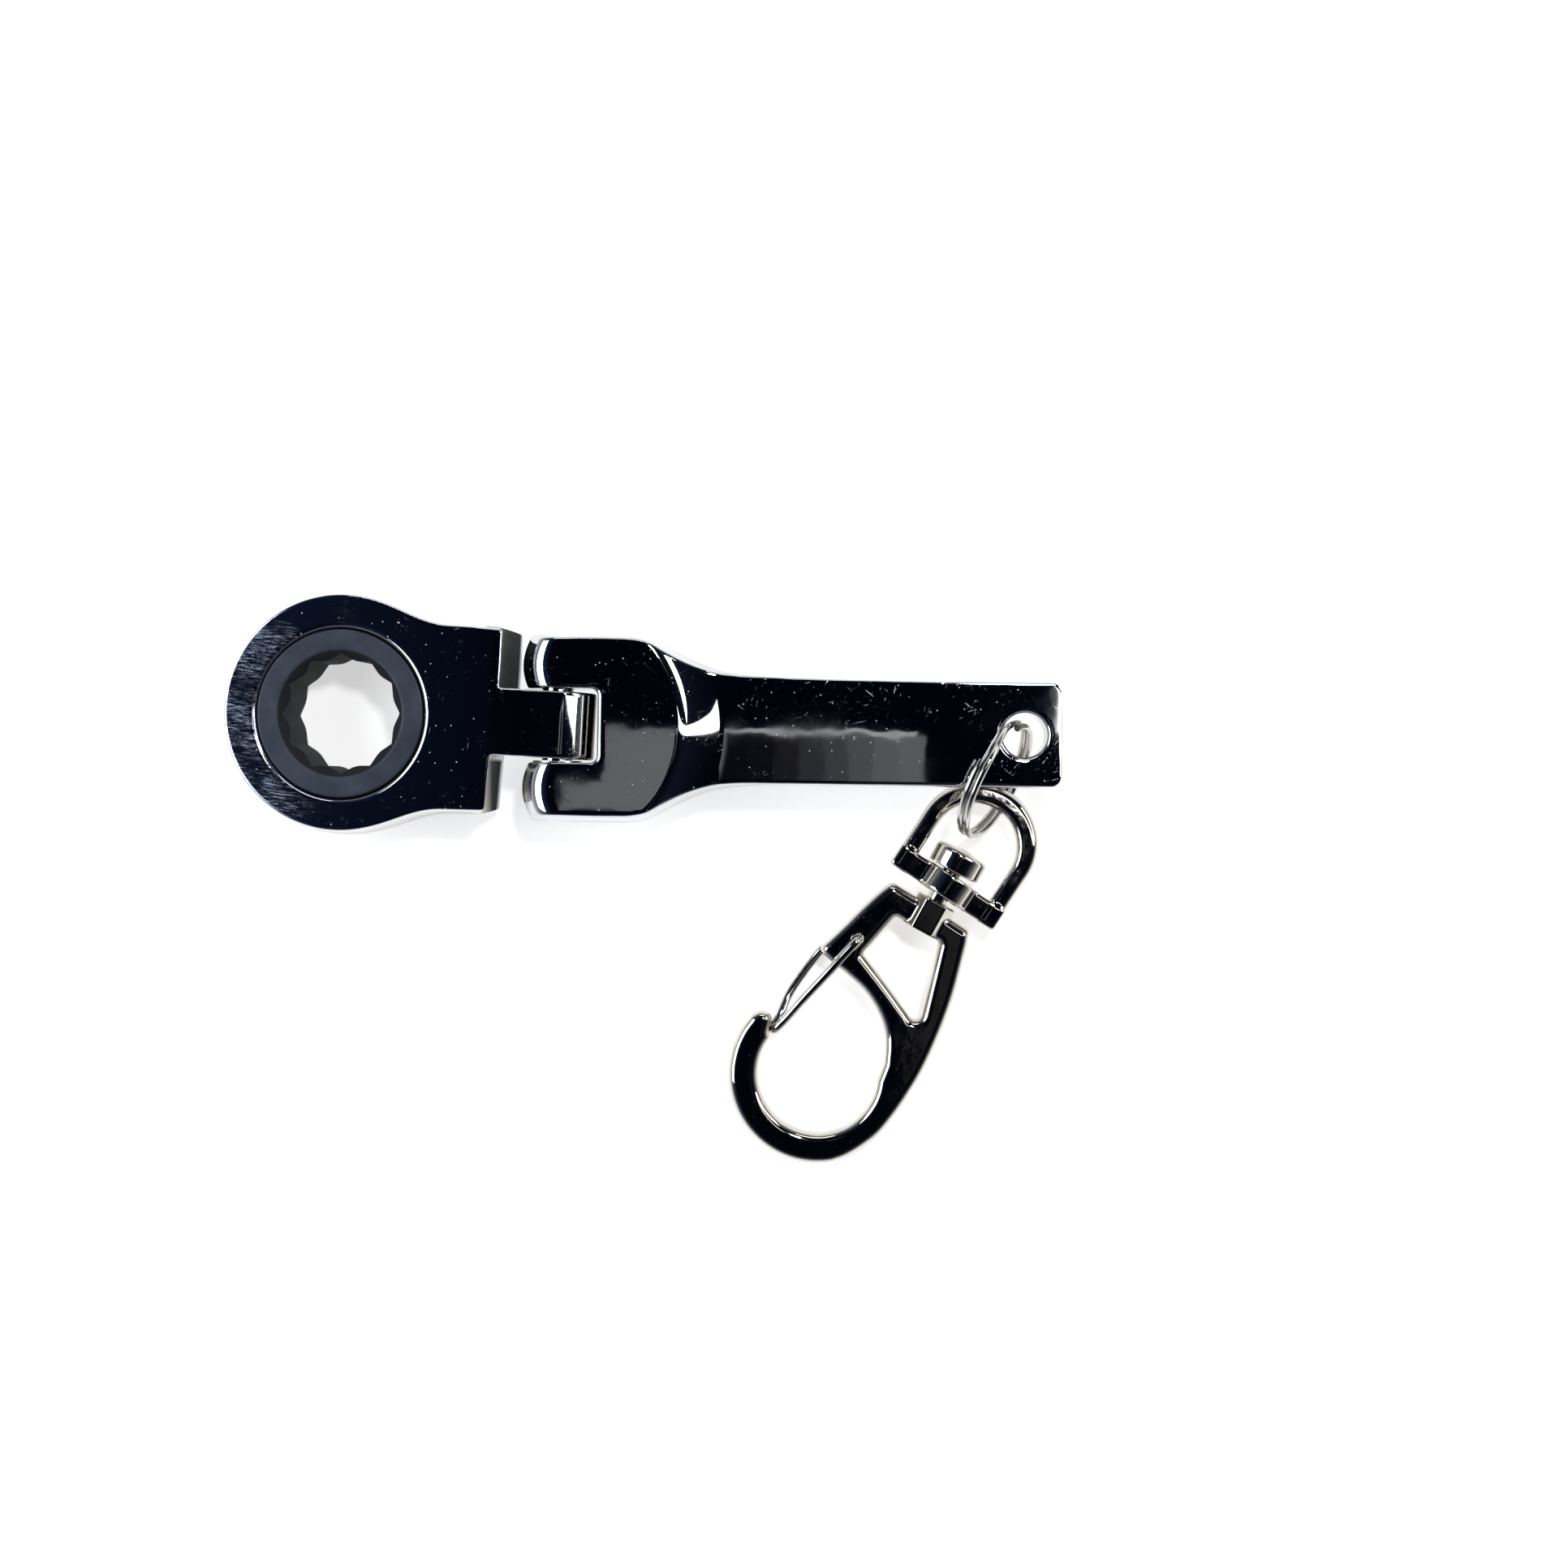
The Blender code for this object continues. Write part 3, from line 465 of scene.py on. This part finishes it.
class Nodes:
    """A small helper to write a node tree top to bottom."""

    def __init__(self, name):
        self.material = bpy.data.materials.new(name)
        self.material.use_nodes = True
        self.tree = self.material.node_tree
        self.shader = self.tree.nodes["Principled BSDF"]
        self.place = self.add("ShaderNodeTexCoord").outputs["Object"]

    def add(self, kind, inputs=None, **settings):
        node = self.tree.nodes.new(kind)
        for key, value in settings.items():
            setattr(node, key, value)
        for key, value in (inputs or {}).items():
            if isinstance(value, bpy.types.NodeSocket):
                self.tree.links.new(value, node.inputs[key])
            else:
                node.inputs[key].default_value = value
        return node

    def stretched(self, scale, turn=0.0):
        """Object coordinates in axes turned about Z, with this many pattern cells to the millimetre."""
        cell, rotation = [MM / s for s in scale], (0, 0, math.radians(turn))
        inputs = {"Vector": self.place, "Scale": cell, "Rotation": rotation}
        return self.add("ShaderNodeMapping", inputs, vector_type="TEXTURE").outputs[0]

    def noise(self, vector, detail=2.0, rough=0.5):
        inputs = {"Vector": vector, "Scale": 1.0, "Detail": detail, "Roughness": rough}
        return self.add("ShaderNodeTexNoise", inputs).outputs["Fac"]

    def between(self, value, low, high, out_low=0.0, out_high=1.0):
        inputs = {"Value": value, "From Min": low, "From Max": high, "To Min": out_low, "To Max": out_high}
        return self.add("ShaderNodeMapRange", inputs).outputs[0]

    def math(self, operation, a, b=0.0):
        return self.add("ShaderNodeMath", {0: a, 1: b}, operation=operation).outputs[0]

    def colour(self, factor, first, second):
        ramp = self.add("ShaderNodeValToRGB", {"Fac": factor})
        ramp.color_ramp.elements[0].color = (*first, 1)
        ramp.color_ramp.elements[1].color = (*second, 1)
        return ramp.outputs["Color"]

    def mix(self, factor, first, second):
        return self.add("ShaderNodeMix", {0: factor, 6: first, 7: second}, data_type="RGBA").outputs[2]

    def put(self, socket, value):
        if isinstance(value, bpy.types.NodeSocket):
            self.tree.links.new(value, self.shader.inputs[socket])
        else:
            self.shader.inputs[socket].default_value = value

    def bump(self, height, distance_mm, strength=1.0):
        inputs = {"Height": height, "Distance": distance_mm * MM, "Strength": strength}
        self.put("Normal", self.add("ShaderNodeBump", inputs).outputs[0])


def scratches(n, lines):
    """Hairlines in a few directions, each a thin crest of a stretched noise, gathered in patches."""
    total = None
    for turn, along, across, keep in lines:
        streak = n.noise(n.stretched((along, across, across), turn), 1.0)
        crest = n.between(streak, keep, keep + 0.05)
        total = crest if total is None else n.math("MAXIMUM", total, crest)
    patches = n.between(n.noise(n.stretched((0.3, 0.3, 0.3)), 2), 0.46, 0.6, 0.05, 1)
    return n.math("MULTIPLY", total, patches)


def specks(n, per_mm, size, common):
    """Tiny nicks and grains of dust in loose clusters: one in a cell of a sparse pattern, most left out."""
    cell = n.add("ShaderNodeTexVoronoi", {"Vector": n.stretched((1, 1, 1)), "Scale": per_mm})
    dot = n.between(cell.outputs["Distance"], size, size * 0.6)
    chance = n.add("ShaderNodeSeparateColor", {"Color": cell.outputs["Color"]}).outputs[0]
    cluster = n.between(n.noise(n.stretched((0.4, 0.4, 0.4)), 2), 0.42, 0.62, 1 - common * 0.3, 1 - common)
    kept = n.math("GREATER_THAN", chance, cluster)
    return n.math("MULTIPLY", dot, kept)


def rub_far_end_with_painted_reflection(n, haze, rough, colour):
    """Rubbed streaks that grow towards the head's far rim: rougher, and tinted blue-grey by a painted
    reflection.
    """
    x = n.add("ShaderNodeSeparateXYZ", {"Vector": n.place}).outputs["X"]
    far_end = n.between(x, HINGE.x - 0.0165, HINGE.x - 0.027)
    lines = n.between(n.noise(n.stretched((0.5, 7, 7), -6), 4, 0.7), 0.40, 0.70)
    patches = n.between(haze, 0.38, 0.55, 0.3, 1)
    rubbed = n.math("MULTIPLY", n.math("MULTIPLY", lines, far_end), patches)
    rough = n.math("ADD", rough, n.math("MULTIPLY", rubbed, 0.40))
    # painted reflection: the rubbed streaks take a blue-grey colour
    return rough, n.mix(n.math("MULTIPLY", rubbed, 0.8), colour, PAINTED_BLUE_GREY_REFLECTION)


def painted_shade_in_shoulders(n, rise, rough, colour):
    """Painted shade in the hollows beside the tang: a near-black colour, with more roughness."""
    place = n.add("ShaderNodeSeparateXYZ", {"Vector": n.place}).outputs
    off_axis = n.math("ABSOLUTE", n.math("SUBTRACT", place["Y"], HINGE.y))
    near_hinge = n.between(place["X"], HINGE.x - 0.0071, HINGE.x - 0.0066)
    beside_tang = n.between(off_axis, 0.0031, 0.0034)
    below_face = n.between(rise, 0.0034, 0.0031)
    # painted shade: the hollows beside the tang take a near-black colour and more roughness
    hollow_shade = n.math("MULTIPLY", n.math("MULTIPLY", near_hinge, below_face), beside_tang)
    rough = n.math("ADD", rough, n.math("MULTIPLY", hollow_shade, 0.25))
    return rough, n.mix(hollow_shade, colour, PAINTED_HOLLOW_SHADE)


def polished_chrome(name, axis, half, head=False):
    """Mirror chrome with hairlines and specks of dust. On the walls, which begin this many millimetres from
    the middle plane, along the axis, a painted reflection makes it warmer and darker."""
    n = Nodes(name)
    hairs = scratches(n, [(15, 0.5, 9, 0.72), (-38, 0.6, 9, 0.72), (78, 0.7, 9, 0.725), (52, 1.4, 10, 0.725)])
    dust = specks(n, 1.9, 0.13, 0.38)
    marks = n.math("MAXIMUM", dust, n.math("MULTIPLY", hairs, 0.7))
    haze = n.noise(n.stretched((0.22, 0.22, 0.22)), 4)
    rough = n.math("ADD", n.between(haze, 0.35, 0.7, 0.015, 0.04), n.math("MULTIPLY", hairs, 0.25))
    rise = n.add("ShaderNodeVectorMath", {0: n.place, 1: axis}, operation="DOT_PRODUCT").outputs["Value"]
    rise = n.math("ABSOLUTE", n.math("SUBTRACT", rise, HINGE.dot(axis)))
    # painted reflection: the walls take a darker, warmer colour
    painted_wall_reflection = n.between(rise, half * MM, (half - 1.2) * MM)
    colour = n.mix(painted_wall_reflection, n.colour(marks, CHROME, PALE_MARKS), PAINTED_WALL_REFLECTION)
    if head:
        rough, colour = rub_far_end_with_painted_reflection(n, haze, rough, colour)
        rough, colour = painted_shade_in_shoulders(n, rise, rough, colour)
    n.put("Metallic", n.between(dust, 0, 1, 1, 0.1))
    n.put("Roughness", rough)
    n.put("Base Color", colour)
    n.bump(n.noise(n.stretched((0.35, 0.35, 0.35)), 1), 0.004)
    return n.material


def cast_nickel(name):
    """Plated casting: slightly warm, gently uneven, with fine pits."""
    n = Nodes(name)
    waves = n.noise(n.stretched((0.7, 0.7, 0.7)), 2)
    pits = specks(n, 2.2, 0.12, 0.3)
    haze = n.noise(n.stretched((0.5, 0.5, 0.5)), 4)
    n.put("Metallic", 1.0)
    n.put("Roughness", n.math("ADD", n.between(haze, 0.4, 0.7, 0.03, 0.1), n.math("MULTIPLY", pits, 0.3)))
    n.put("Base Color", n.colour(n.between(haze, 0.35, 0.7), *NICKEL))
    n.bump(n.math("ADD", waves, n.math("MULTIPLY", pits, 0.1)), 0.02, 0.5)
    return n.material


def bright_wire(name, rough=0.05):
    """Drawn spring wire with a faint unevenness."""
    n = Nodes(name)
    lines = n.noise(n.stretched((2, 2, 2)), 3)
    n.put("Metallic", 1.0)
    n.put("Roughness", n.between(lines, 0.3, 0.7, rough, rough + 0.08))
    n.put("Base Color", n.colour(n.between(lines, 0.3, 0.7), *STEEL))
    n.bump(lines, 0.008, 0.5)
    return n.material


def phosphate(name):
    """Satin dark phosphate with a fine grain and cloudy patches, and painted shade that makes it black and
    matt inside the opening.
    """
    n = Nodes(name)
    grain = n.noise(n.stretched((9, 9, 9)), 5, 0.65)
    cloud = n.noise(n.stretched((0.35, 0.35, 0.35)), 3)
    tone = n.math("ADD", n.math("MULTIPLY", grain, 0.35), n.math("MULTIPLY", cloud, 0.65))
    reach = n.add("ShaderNodeVectorMath", {0: n.place, 1: RING_CENTRE}, operation="DISTANCE").outputs["Value"]
    # painted shade: black and matt inside the opening
    inside = n.between(reach, 0.00712, 0.00704)
    face = n.colour(n.between(tone, 0.35, 0.65), *PHOSPHATE)
    n.put("Metallic", n.between(inside, 0, 1, 0.45, 0))
    n.put("Specular IOR Level", 0.35)
    n.put("Base Color", n.mix(inside, face, PAINTED_SHADE_INSIDE))
    n.put("Roughness", n.math("ADD", n.between(grain, 0.3, 0.7, 0.42, 0.56), n.math("MULTIPLY", inside, 0.3)))
    n.bump(grain, 0.015, 0.5)
    return n.material


# --- floor, camera and light ------------------------------------------------------------------------------
FLOOR_GLOW = 0.66
CAMERA_PLACE, CAMERA_ROLL = (21.95, -5.2, 232.14), 0.79   # millimetres from the hinge, degrees
SKYLIGHT_HEIGHT, STRIP, STRIPS_START = 0.40, 0.0065, -0.002
STRIP_BRIGHTNESS = (0.004, 0.006, 0.015, 0.04, 0.07, 0.11, 0.15, 0.17)
SKY = [(0.0, (0.78, 0.77, 0.75)), (0.15, (0.5, 0.5, 0.5)), (0.38, (0.12, 0.125, 0.14)),
       (0.66, (0.008, 0.010, 0.020)), (1.0, (0.001, 0.0016, 0.005))]


def floor():
    """A pale matt table that glows a little, so that it stays pale inside the ring and under the hook."""
    bpy.ops.mesh.primitive_plane_add(size=6)
    plane = bpy.context.object
    plane.name = "floor"
    n = Nodes("pale_floor")
    pale = n.colour(n.noise(n.stretched((0.02, 0.02, 0.02)), 3), *FLOOR_PALE)
    n.put("Base Color", pale)
    n.put("Roughness", 0.9)
    n.put("Emission Color", pale)
    n.put("Emission Strength", FLOOR_GLOW)
    plane.data.materials.append(n.material)


def camera():
    """Straight above the key, about 23 cm away."""
    data = bpy.data.cameras.new("camera")
    data.sensor_width = 36
    data.lens = 55.15
    data.clip_start = 0.005
    eye = bpy.data.objects.new("camera", data)
    eye.location = HINGE + Vector(CAMERA_PLACE) * MM
    eye.rotation_euler = (0, 0, math.radians(CAMERA_ROLL))
    bpy.context.scene.collection.objects.link(eye)
    bpy.context.scene.camera = eye


def panel(name, place, size, brightness, colour=(1, 1, 1), aim=(0, 0, 0)):
    """A soft box that faces the aim point: place and size in metres, brightness as radiance."""
    light = bpy.data.lights.new(name, "AREA")
    light.shape = "RECTANGLE"
    light.size, light.size_y = size
    light.energy = brightness * size[0] * size[1] * math.pi
    light.color = colour
    lamp = bpy.data.objects.new(name, light)
    lamp.location = place
    lamp.rotation_euler = (Vector(place) - Vector(aim)).to_track_quat("Z", "Y").to_euler()
    bpy.context.scene.collection.objects.link(lamp)


def overhead(name, x_range, y_range, brightness):
    """A level panel high above the key, between these X and Y."""
    middle = (sum(x_range) / 2, sum(y_range) / 2)
    size = (x_range[1] - x_range[0], y_range[1] - y_range[0])
    panel(name, (*middle, SKYLIGHT_HEIGHT), size, brightness, aim=(*middle, 0))


def tube(name, start, end, width, brightness):
    """A long narrow light between two points that faces the key."""
    start, end = Vector(start), Vector(end)
    middle, along = (start + end) / 2, (end - start).normalized()
    out = middle.normalized()
    across = out.cross(along).normalized()
    light = bpy.data.lights.new(name, "AREA")
    light.shape = "RECTANGLE"
    light.size, light.size_y = (end - start).length, width
    light.energy = brightness * light.size * width * math.pi
    lamp = bpy.data.objects.new(name, light)
    turn = Matrix((along, across, along.cross(across))).transposed().to_4x4()
    lamp.matrix_world = Matrix.Translation(middle) @ turn
    bpy.context.scene.collection.objects.link(lamp)


def surroundings():
    """A nearly black ceiling over a pale horizon, bluish and a little lighter beyond the head."""
    world = bpy.data.worlds.new("surroundings")
    bpy.context.scene.world = world
    world.use_nodes = True
    tree = world.node_tree
    place = tree.nodes.new("ShaderNodeTexCoord").outputs["Generated"]
    split = tree.nodes.new("ShaderNodeSeparateXYZ")
    height = tree.nodes.new("ShaderNodeValToRGB")
    beyond = tree.nodes.new("ShaderNodeMapRange")
    total = tree.nodes.new("ShaderNodeMix")
    total.data_type = "RGBA"
    total.blend_type = "ADD"
    tree.links.new(place, split.inputs[0])
    tree.links.new(split.outputs["Z"], height.inputs[0])
    tree.links.new(split.outputs["X"], beyond.inputs["Value"])
    beyond.inputs["From Min"].default_value = -0.27
    beyond.inputs["From Max"].default_value = -0.5
    tree.links.new(beyond.outputs[0], total.inputs["Factor"])
    tree.links.new(height.outputs[0], total.inputs["A"])
    total.inputs["B"].default_value = (0.008, 0.016, 0.04, 1)
    tree.links.new(total.outputs["Result"], tree.nodes["Background"].inputs["Color"])
    while len(height.color_ramp.elements) < len(SKY):
        height.color_ramp.elements.new(0.5)
    for element, (position, colour) in zip(height.color_ramp.elements, SKY):
        element.position = position
        element.color = (*colour, 1)


def lights():
    """Soft boxes round the key, and level panels above it for the flat faces to mirror."""
    panel("left_box", (-0.34, 0.03, 0.26), (0.34, 0.22), 5.0, (0.97, 0.99, 1.0))
    panel("right_box", (0.33, 0.13, 0.25), (0.25, 0.13), 5.5, (1.0, 0.99, 0.97))
    panel("back_box", (0.02, 0.44, 0.28), (0.36, 0.10), 2.5)
    panel("key_lamp", (0.10, 0.17, 0.46), (0.05, 0.05), 110)
    tube("right_tube", (0.31, 0.013, 0.22), (0.085, 0.036, 0.40), 0.024, 3.0)
    overhead("skylight_far", (-0.033, -0.010), (0.010, 0.024), 0.20)
    overhead("skylight_side", (-0.044, -0.010), (0.002, 0.010), 0.20)
    overhead("skylight_rim", (-0.002, 0.048), (0.0225, 0.024), 0.5)
    for k, brightness in enumerate(STRIP_BRIGHTNESS):
        start = STRIPS_START + STRIP * k
        overhead("skylight_near", (start, start + STRIP), (0.002, 0.0225), brightness)
    overhead("skylight_hook", (0.030, 0.075), (-0.110, -0.035), 0.02)


# --- assembly ---------------------------------------------------------------------------------------------
chrome_head = polished_chrome("chrome_head", HEAD.col[2].to_3d().normalized(), 3.2, head=True)
chrome_handle = polished_chrome("chrome_handle", HANDLE.col[2].to_3d().normalized(), 1.95)
nickel = cast_nickel("nickel")
ring_wire = bright_wire("ring_wire")
steel = bright_wire("steel", 0.22)
dark = phosphate("dark_phosphate")

skin("key_head", ratchet_head, (-32.2, -11.8, -3.8), (3.8, 11.6, 3.8), 0.156, HEAD,
     chrome_head, "head", ["head_body"])
skin("key_handle", fork_and_shank, (-3.4, -9.3, -3.5), (48.8, 9.3, 3.5), 0.152, HANDLE,
     chrome_handle, "handle", ["handle"])
skin("key_drive_ring", toothed_ring, (-9.2, -9.2, -3.8), (9.2, 9.2, 3.8), 0.12, DRIVE,
     dark, "ratchet_ring", ["drive_ring"])
skin("key_bow", cast_bow, (-11.4, -6.4, -2.8), (1.3, 6.4, 2.8), 0.1, BOW,
     nickel, "bow", ["swivel_bow"])
skin("key_stud", button_stud, (-4.1, -2.8, -2.8), (5.1, 2.8, 2.8), 0.09, CLIP,
     nickel, "hook", ["swivel_stud"])
skin("key_hook", snap_hook, (1.6, -10.9, -2.1), (31.1, 7, 2.1), 0.11, CLIP,
     nickel, "hook", ["hook_body"])
wire("key_gate", gate_path(), GATE_WIRE, CLIP, ring_wire, "gate", ["wire_gate"])
wire("key_split_ring", ring_path(), RING_WIRE, RING, ring_wire, "key_ring", ["split_ring"])
coil_spring()
for name in ("pawl", "retaining_ring", "hinge_pin", "friction_washer"):
    frame["nodes"][name].data.materials.clear()
    frame["nodes"][name].data.materials.append(chrome_handle if name == "hinge_pin" else steel)

floor()
camera()
surroundings()
lights()
bpy.context.scene.view_settings.view_transform = "Standard"
